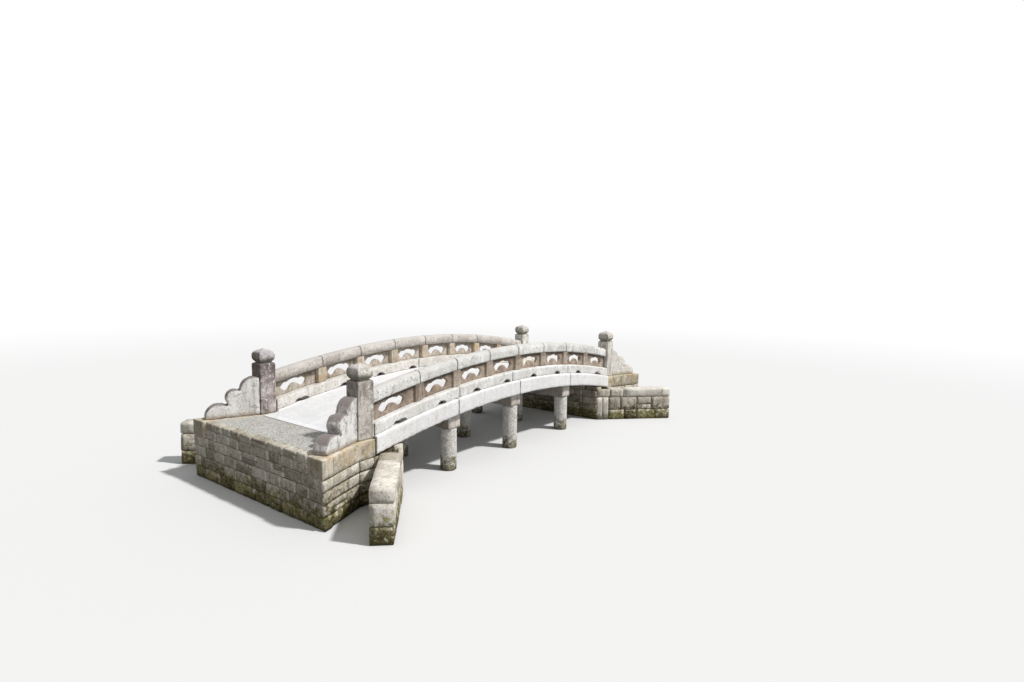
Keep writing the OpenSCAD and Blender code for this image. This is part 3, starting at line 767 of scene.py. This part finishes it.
def rubble_tree():
    """A block with rounded arrises and a rough face at every point, to the point's own size and turn."""
    tree, given = new_rule("rubble", (
        ("Rounding", "NodeSocketFloat"), ("Roughness", "NodeSocketFloat"), ("Bulge", "NodeSocketFloat"),
        ("Finish", "NodeSocketMaterial"), ("Coping", "NodeSocketMaterial")))

    block = put(tree, "GeometryNodeMeshCube", {"Size": (1.0, 1.0, 1.0), "Vertices X": 7, "Vertices Y": 4,
                                               "Vertices Z": 5}).outputs["Mesh"]
    block = stored(tree, block, "unit", here(tree), "FLOAT_VECTOR")
    turn = own_numbers(tree, "turn")
    size = own_numbers(tree, "stone_size", "FLOAT_VECTOR")
    rotation = put(tree, "FunctionNodeEulerToRotation", {0: vector(tree, z=turn)}).outputs[0]
    points = put(tree, "GeometryNodeMeshToPoints", {0: given["Stone"]}).outputs[0]
    laid = put(tree, "GeometryNodeInstanceOnPoints", {0: points, "Instance": block, "Rotation": rotation,
                                                      "Scale": size}).outputs[0]
    laid = put(tree, "GeometryNodeRealizeInstances", {0: laid}).outputs[0]

    unit = own_numbers(tree, "unit", "FLOAT_VECTOR")
    pull, over = rounded(tree, unit, size, given["Rounding"])
    pull = vcalc(tree, "SUBTRACT", pull, bulged(tree, unit, given["Bulge"]))
    pull = vcalc(tree, "ADD", pull, skewed(tree, unit, size))
    turned = put(tree, "ShaderNodeVectorRotate", {"Vector": pull, "Angle": turn},
                 rotation_type="Z_AXIS").outputs[0]

    moved = shifted_by(tree, own_numbers(tree, "each_stone"), 9.0)
    lumps = vcalc(tree, "SUBTRACT", mottle(tree, moved, 6.0, 4.0, 0.5, output=1), (0.5, 0.5, 0.5))
    offset = vcalc(tree, "ADD", turned, times(tree, lumps, given["Roughness"]))
    laid = put(tree, "GeometryNodeSetPosition", {0: laid, "Offset": offset}).outputs[0]
    # the lowest course stands flat
    laid = kept_above(tree, laid, 0.001)
    laid = stored(tree, laid, "worn_edge", product(tree, over, 40.0))
    laid = put(tree, "GeometryNodeSetShadeSmooth", {0: laid}).outputs[0]
    laid = put(tree, "GeometryNodeSetMaterial", {0: laid, "Material": given["Finish"]}).outputs[0]
    capped = put(tree, "FunctionNodeCompare", {0: own_numbers(tree, "coping"), 1: 0.5},
                 operation="GREATER_THAN").outputs[0]
    laid = put(tree, "GeometryNodeSetMaterial", {0: laid, "Selection": capped, "Material": given["Coping"]})
    put(tree, "NodeGroupOutput", {0: laid.outputs[0]})
    return tree


RUBBLE = rubble_tree()


class Masonry:
    """Stones laid in courses, as points that carry a size, a turn and a number of their own."""

    def __init__(self, seed):
        self.chance = random.Random(seed)
        self.stones = []

    def stone(self, start, along, out, s0, s1, z0, z1, deep, slant=0.0, coping=0.0):
        """One stone between s0 and s1 along a face and z0 and z1 up it. Its ends slant by so much along the
        face for each metre behind it."""
        back = self.chance.uniform(*SET_BACK)
        wide, high = s1 - s0 - JOINT_WIDTH, z1 - z0 - JOINT_WIDTH
        deep = deep - back
        middle = start + along * ((s0 + s1) / 2 + slant * back) - out * (back + deep / 2)
        turn = math.atan2(out.y, out.x) + math.pi / 2
        same = math.cos(turn) * along.x + math.sin(turn) * along.y
        skew = math.copysign(slant, slant * same)
        self.stones.append(((middle.x, middle.y, (z0 + z1) / 2), (wide, deep, high), turn,
                            self.chance.random(), skew, coping))

    def face(self, a, b, courses, deep, widths=STONE_WIDTHS, foot=0.0, short=((0.0, 0), (0.0, 0)),
             slants=(0.0, 0.0), out_left=False):
        """Fills the face from a to b. Its outside is to the right of the way from a to b, unless out_left.
        Short says what each end gives up to the next face and on which courses, even or odd. Slants says how
        the last stone leans back at either end of the other courses."""
        a, b = Vector((*a, 0.0)), Vector((*b, 0.0))
        along = (b - a).normalized()
        out = Vector((along.y, -along.x, 0.0)) * (-1.0 if out_left else 1.0)
        length = (b - a).length
        z = foot
        for k, high in enumerate(courses):
            s, lean = (short[0][0], 0.0) if k % 2 == short[0][1] else (0.0, slants[0])
            end, last = (length - short[1][0], 0.0) if k % 2 == short[1][1] else (length, slants[1])
            cuts = [s]
            while end - cuts[-1] > widths[1] * 1.35:
                cuts.append(cuts[-1] + self.chance.uniform(*widths))
            if end - cuts[-1] > widths[1]:
                cuts.append((cuts[-1] + end) / 2)
            cuts.append(end)
            for i, (s0, s1) in enumerate(zip(cuts, cuts[1:])):
                slant = lean if i == 0 else -last if i == len(cuts) - 2 else 0.0
                inside = 0 < i < len(cuts) - 2
                if inside and self.chance.random() < SPLIT_SHARE:
                    self.two_thin(a, along, out, s0, s1, z, high, deep)
                else:
                    self.stone(a, along, out, s0, s1, z, z + high, deep, slant=slant)
            z += high

    def two_thin(self, start, along, out, s0, s1, z, high, deep):
        """Two thin stones in place of one."""
        part = z + high * self.chance.uniform(0.40, 0.60)
        self.stone(start, along, out, s0, s1, z, part, deep)
        self.stone(start, along, out, s0, s1, part, z + high, deep)

    def mesh(self, name, rounding=0.020, roughness=0.036, bulge=0.010):
        points = bpy.data.meshes.new(name + "_places")
        points.from_pydata([s[0] for s in self.stones], [], [])
        size = points.attributes.new("stone_size", "FLOAT_VECTOR", "POINT")
        size.data.foreach_set("vector", [v for s in self.stones for v in s[1]])
        for i, label in enumerate(("turn", "each_stone", "skew", "coping"), start=2):
            numbers = points.attributes.new(label, "FLOAT", "POINT")
            numbers.data.foreach_set("value", [s[i] for s in self.stones])
        work = shown(points, name + "_places")
        ruled(work, RUBBLE, {"Rounding": rounding, "Roughness": roughness, "Bulge": bulge,
                             "Finish": rubble_stone, "Coping": coping_stone})
        made = evaluated(work, name)
        cleared(work)
        return made


def core(node, moves, top_finish=None):
    """The filling behind the stones: the node's own form with its outer faces drawn in."""
    bm = bmesh.new()
    bm.from_mesh(cad[node].data)
    bmesh.ops.remove_doubles(bm, verts=bm.verts, dist=1e-5)
    bmesh.ops.dissolve_limit(bm, angle_limit=0.002, verts=bm.verts, edges=bm.edges)
    for v in bm.verts:
        v.co = moves(v.co.copy())
    mesh = bpy.data.meshes.new(node + "_core")
    mesh.materials.append(joint_earth)
    if top_finish:
        mesh.materials.append(top_finish)
    bm.normal_update()
    for f in bm.faces:
        if top_finish and f.normal.z > 0.7 and f.calc_center_median().z > ROAD - 2 * GRAVEL_DROP:
            f.material_index = 1
    bm.to_mesh(mesh)
    bm.free()
    return mesh


def joined(name, meshes):
    """One mesh from several, with their materials kept."""
    bm = bmesh.new()
    finishes = []
    for mesh in meshes:
        first = len(bm.faces)
        bm.from_mesh(mesh)
        bm.faces.ensure_lookup_table()
        for m in mesh.materials:
            if m not in finishes:
                finishes.append(m)
        for f in bm.faces[first:]:
            f.material_index = finishes.index(mesh.materials[min(f.material_index, len(mesh.materials) - 1)])
    made = bpy.data.meshes.new(name)
    bm.to_mesh(made)
    bm.free()
    for m in finishes:
        made.materials.append(m)
    for mesh in meshes:
        bpy.data.meshes.remove(mesh)
    return made


def abutment(side, seed):
    """Squared rubble round the filling of one abutment; side is -1 on the left and 1 on the right."""
    name = "abutment_right" if side > 0 else "abutment_left"
    left = side < 0
    wall = Masonry(seed)
    low = [*ABUTMENT_COURSES, KERB_FOOT - sum(ABUTMENT_COURSES)]
    lean = math.tan(FLARE)
    road_side = KERB_INNER + ROAD_LAP

    def at(x, y):
        return (side * x, y)

    wall.face(at(ABUTMENT_FACE, ABUTMENT_SIDE), at(ABUTMENT_FACE, -ABUTMENT_SIDE), low + [BEARING_COURSE],
              FRONT_DEEP, short=((FRONT_DEEP, 1), (FRONT_DEEP, 1)), out_left=left)
    wall.face(at(ABUTMENT_END, -ABUTMENT_END_SIDE), at(ABUTMENT_END, ABUTMENT_END_SIDE), low, SIDE_DEEP,
              short=((CORNER_LAP, 1), (CORNER_LAP, 1)), slants=(lean, lean), out_left=left)
    wall.face(at(ABUTMENT_END, -road_side), at(ABUTMENT_END, road_side), ROAD_COURSES, ROAD_DEEP,
              foot=KERB_FOOT, out_left=left)
    for y in (-1, 1):
        a, b = at(ABUTMENT_FACE, y * ABUTMENT_SIDE), at(NEWEL_FACE, y * ABUTMENT_SIDE)
        c = at(ABUTMENT_END - CORNER_GAP, y * ABUTMENT_END_SIDE)
        flip = (y > 0) != left
        wall.face(a, b, low, FRONT_DEEP, short=((CORNER_LAP, 0), (0.0, 0)), out_left=flip)
        wall.face(b, c, low, SIDE_DEEP, short=((0.0, 0), (CORNER_LAP, 0)), slants=(0.0, lean), out_left=flip)
    stones = wall.mesh(name + "_stones")

    def drawn_in(p):
        x, y = abs(p.x), abs(p.y)
        if y > ABUTMENT_SIDE - ON_FACE:
            y -= JOINT_DEPTH / math.cos(FLARE)
        if x > ABUTMENT_END - ON_FACE:
            x -= ROAD_END_BACK if p.z > ROAD - ON_FACE else JOINT_DEPTH
        if x < ABUTMENT_FACE + ON_FACE:
            x += JOINT_DEPTH
        z = p.z - GRAVEL_DROP if p.z > ROAD - ON_FACE else p.z
        return Vector((math.copysign(x, p.x), math.copysign(y, p.y), z))

    masonry = joined(name + "_masonry", [stones, core(name, drawn_in, packed_gravel)])
    settle(masonry, name + "_masonry", name)


def wing_wall(side, across, seed):
    """Splayed wall of through stones, with a long coping stone on its top course."""
    name = "wing_wall_%s_%s" % ("far" if across > 0 else "near", "right" if side > 0 else "left")
    wall = Masonry(seed)
    chance = wall.chance
    start = Vector((side * ABUTMENT_FACE, across * ABUTMENT_SIDE, 0.0))
    along = Vector((side * math.cos(WING_ANGLE), across * math.sin(WING_ANGLE), 0.0))
    out = Vector((-side * math.sin(WING_ANGLE), across * math.cos(WING_ANGLE), 0.0))
    shoulder = sum(WING_COURSES)
    z = 0.0
    for high in (*WING_COURSES, WING_HIGH - shoulder):
        under_coping = z + high < WING_HIGH - ON_FACE
        if under_coping:
            cuts = [TALL_STONES, chance.uniform(*SECOND_JOINT)]
            while WING_LONG - cuts[-1] > WING_LAST_WIDE:
                cuts.append(cuts[-1] + chance.uniform(*WING_WIDTHS))
        else:
            cuts = [0.0, SHORT_COPING, WING_LONG - LONG_COPING]
        cuts.append(WING_LONG)
        for i, (s0, s1) in enumerate(zip(cuts, cuts[1:])):
            # the wall thins out where it meets the abutment's side
            deep = min(WING_THICK - WING_BACK_GAP, WING_THIN_END + WING_THICKENS * s0)
            if under_coping and 0 < i < len(cuts) - 2 and chance.random() < WING_SPLIT_SHARE:
                wall.two_thin(start, along, out, s0, s1, z, high, deep)
            else:
                long_coping = 1.0 if not under_coping and s1 - s0 > 1.0 else 0.0
                wall.stone(start, along, out, s0, s1, z, z + high, deep, coping=long_coping)
        z += high
    # tall narrow stones stand against the abutment
    for s0, s1 in ((0.0, TALL_STONES / 2), (TALL_STONES / 2, TALL_STONES)):
        wall.stone(start, along, out, s0, s1, 0.0, shoulder, TALL_DEEP, coping=1.0)
    stones = wall.mesh(name + "_stones")

    def drawn_in(p):
        flat = Vector((p.x, p.y, 0.0)) - start
        s, d = flat.dot(along), -flat.dot(out)
        s = min(s, WING_LONG - JOINT_DEPTH)
        d = min(max(d, JOINT_DEPTH), WING_THICK - JOINT_DEPTH)
        q = start + along * s - out * d
        return Vector((q.x, q.y, p.z - WING_CORE_DROP if p.z > WING_HIGH - ON_FACE else p.z))

    masonry = joined(name + "_masonry", [stones, core(name, drawn_in)])
    settle(masonry, name + "_masonry", name)


for side, seed in ((-1, 11), (1, 12)):
    abutment(side, seed)
    for across in (-1, 1):
        wing_wall(side, across, seed * 10 + across)


# The bridge's stones: the cells of their meshes, and how each kind is worn

WEAR = {
    "kerb": dict(cell=0.032, width=0.06, depth=0.014, uneven=0.016, wave=3.5, seed=40),
    "newel": dict(cell=0.017, width=0.045, depth=0.012, uneven=0.009, wave=5.0, seed=50),
    "cap": dict(cell=0.011, width=0.025, depth=0.004, uneven=0.008, wave=6.0, seed=60),
    "wing": dict(cell=0.018, width=0.06, depth=0.016, uneven=0.012, wave=4.0, seed=70),
    "panel": dict(cell=0.012, width=0.018, depth=0.004, uneven=0.005, wave=8.0, seed=80),
    "rail": dict(cell=0.020, width=0.04, depth=0.009, uneven=0.009, wave=4.0, seed=10),
    "base": dict(cell=0.022, width=0.035, depth=0.009, uneven=0.008, wave=4.0, seed=20),
    "beam": dict(cell=0.028, width=0.045, depth=0.011, uneven=0.009, wave=3.0, seed=30),
    "post": dict(cell=0.016, width=0.03, depth=0.009, uneven=0.006, wave=6.0, seed=90),
    "column": dict(cell=0.024, width=0.03, depth=0.008, uneven=0.016, wave=6.0, seed=100),
    "cap_beam": dict(cell=0.028, width=0.05, depth=0.016, uneven=0.012, wave=3.5, seed=110),
}


def corner(row, end, number):
    """The stones at one corner of the bridge, and the panels between it and the middle."""
    right, far = end == "right", row == "far"
    newel = newel_pale_stone if right else newel_dark_stone if far else newel_stone
    cap = cap_stone if far and not right else cap_pale_stone
    wing = wing_pale_stone if right else wing_stone
    panel = panel_far_stone if far else panel_stone
    worn("kerb_%s_%s" % (row, end), kerb_stone, "kerb_stone", number, **WEAR["kerb"])
    worn("newel_%s_%s" % (row, end), newel, "newel_stone", number, **WEAR["newel"])
    worn("newel_cap_%s_%s" % (row, end), cap, "cap_stone", number, **WEAR["cap"])
    worn("wing_stone_%s_%s" % (row, end), wing, "wing_stone", number, **WEAR["wing"])
    worn("panels_%s_%s" % (row, end), panel, "panel_stone", number, **WEAR["panel"])


def long_stones(row, number):
    """The rail, base course, edge beams and posts of one side."""
    far = row == "far"
    worn("rail_" + row, rail_far_stone if far else rail_stone, "rail_stone", number, **WEAR["rail"])
    worn("base_course_" + row, base_far_stone if far else base_stone, "rail_stone", number, **WEAR["base"])
    worn("edge_beams_" + row, beam_stone, "beam_stone", number, **WEAR["beam"])
    worn("posts_" + row, post_far_stone if far else post_stone, "post_stone", number, **WEAR["post"])


def bent(place, number):
    worn("columns_" + place, column_stone, "column_stone", number, **WEAR["column"])
    worn("cap_beam_" + place, cap_beam_stone, "beam_stone", number, **WEAR["cap_beam"])


def slabs(node, seed):
    """Deck slabs with eased arrises and their own number each."""
    arrises = shown(merged(node), node + "_arrises")
    work = shown(merged(node), node + "_work")
    ease = work.modifiers.new("eased", "BEVEL")
    ease.width = 0.009
    ease.segments = 2
    ease.limit_method = "ANGLE"
    ease.angle_limit = 0.6
    ruled(work, WORN, {"Arrises": arrises, "Wear width": 0.05, "Wear depth": 0.0, "Unevenness": 0.0,
                       "Wave size": 3.0, "Seed": seed, "Finish": deck_stone})
    mesh = evaluated(work, node + "_slabs")
    cleared(work, arrises)
    mesh.shade_flat()
    settle(mesh, node + "_slabs", node)


number = 0
for end in ("left", "right"):
    for row in ("near", "far"):
        corner(row, end, number)
        number += 1
for number, row in enumerate(("near", "far")):
    long_stones(row, number)
for number, place in enumerate(("left", "middle", "right")):
    bent(place, number)
for k in range(1, 5):
    slabs("deck_%d" % k, 120 + k)


# Stage, light and camera

def floor():
    mesh = bpy.data.meshes.new("floor")
    reach, white_from, white_at = 150.0, 16.0, 45.0
    corners = [(-reach, -reach, 0.0), (reach, -reach, 0.0), (reach, reach, 0.0), (-reach, reach, 0.0)]
    mesh.from_pydata(corners, [], [(0, 1, 2, 3)])
    pale = bpy.data.materials.new("pale_floor")
    pale.use_nodes = True
    t = pale.node_tree
    t.nodes.clear()
    # the floor turns white far out, where it meets the white backdrop
    place = put(t, "ShaderNodeTexCoord").outputs["Object"]
    far = measured(t, "LENGTH", place)
    seen = put(t, "ShaderNodeLightPath").outputs["Is Camera Ray"]
    shade = blended(t, seen, (0.30, 0.30, 0.30, 1.0), (0.80, 0.80, 0.80, 1.0))
    near_floor = put(t, "ShaderNodeBsdfDiffuse", {"Color": shade}).outputs[0]
    white = put(t, "ShaderNodeEmission", {"Color": (1.0, 1.0, 1.0, 1.0), "Strength": 1.0}).outputs[0]
    whiter = fade(t, far, white_from, white_at)
    mixed = put(t, "ShaderNodeMixShader", {0: whiter, 1: near_floor, 2: white}).outputs[0]
    put(t, "ShaderNodeOutputMaterial", {0: mixed})
    mesh.materials.append(pale)
    shown(mesh, "floor")


def light():
    lamp = bpy.data.lights.new("sun", "SUN")
    lamp.energy = 2.9
    lamp.angle = math.radians(4)
    lamp.color = (1.0, 0.99, 0.975)
    sun = bpy.data.objects.new("sun", lamp)
    bpy.context.scene.collection.objects.link(sun)
    towards_sun = Vector((0.40, -0.95, 1.38))
    sun.rotation_euler = towards_sun.to_track_quat("Z", "Y").to_euler()
    world = bpy.data.worlds.new("studio")
    bpy.context.scene.world = world
    world.use_nodes = True
    t = world.node_tree
    t.nodes.clear()
    path = put(t, "ShaderNodeLightPath").outputs
    seen = calc(t, "MAXIMUM", path["Is Camera Ray"], path["Is Glossy Ray"])
    seen = calc(t, "MAXIMUM", seen, path["Is Transmission Ray"])
    soft = put(t, "ShaderNodeBackground", {"Color": (0.97, 0.985, 1.0, 1.0), "Strength": 0.40}).outputs[0]
    plain = put(t, "ShaderNodeBackground", {"Color": (1.0, 1.0, 1.0, 1.0), "Strength": 1.0}).outputs[0]
    mixed = put(t, "ShaderNodeMixShader", {0: seen, 1: soft, 2: plain}).outputs[0]
    put(t, "ShaderNodeOutputWorld", {0: mixed})


def camera():
    """The photograph's own viewpoint, found by fitting the bridge's edges."""
    eye = Vector((-11.885, -10.456, 4.323))
    yaw, pitch, roll = 0.64239, 0.10573, 0.01678
    focal_pixels, picture_wide, sensor_wide = 583.84, 1024.0, 36.0
    level = math.cos(pitch)
    ahead = Vector((level * math.cos(yaw), level * math.sin(yaw), -math.sin(pitch)))
    right = Vector((math.sin(yaw), -math.cos(yaw), 0.0))
    above = right.cross(ahead)
    side = right * math.cos(roll) + above * math.sin(roll)
    top = above * math.cos(roll) - right * math.sin(roll)
    lens = bpy.data.cameras.new("camera")
    lens.sensor_width = sensor_wide
    lens.lens = focal_pixels * sensor_wide / picture_wide
    lens.clip_end = 400.0
    made = bpy.data.objects.new("camera", lens)
    bpy.context.scene.collection.objects.link(made)
    turn = Matrix((side, top, -ahead)).transposed()
    made.matrix_world = Matrix.Translation(eye) @ turn.to_4x4()
    bpy.context.scene.camera = made


floor()
light()
camera()
bpy.context.scene.view_settings.view_transform = "Standard"
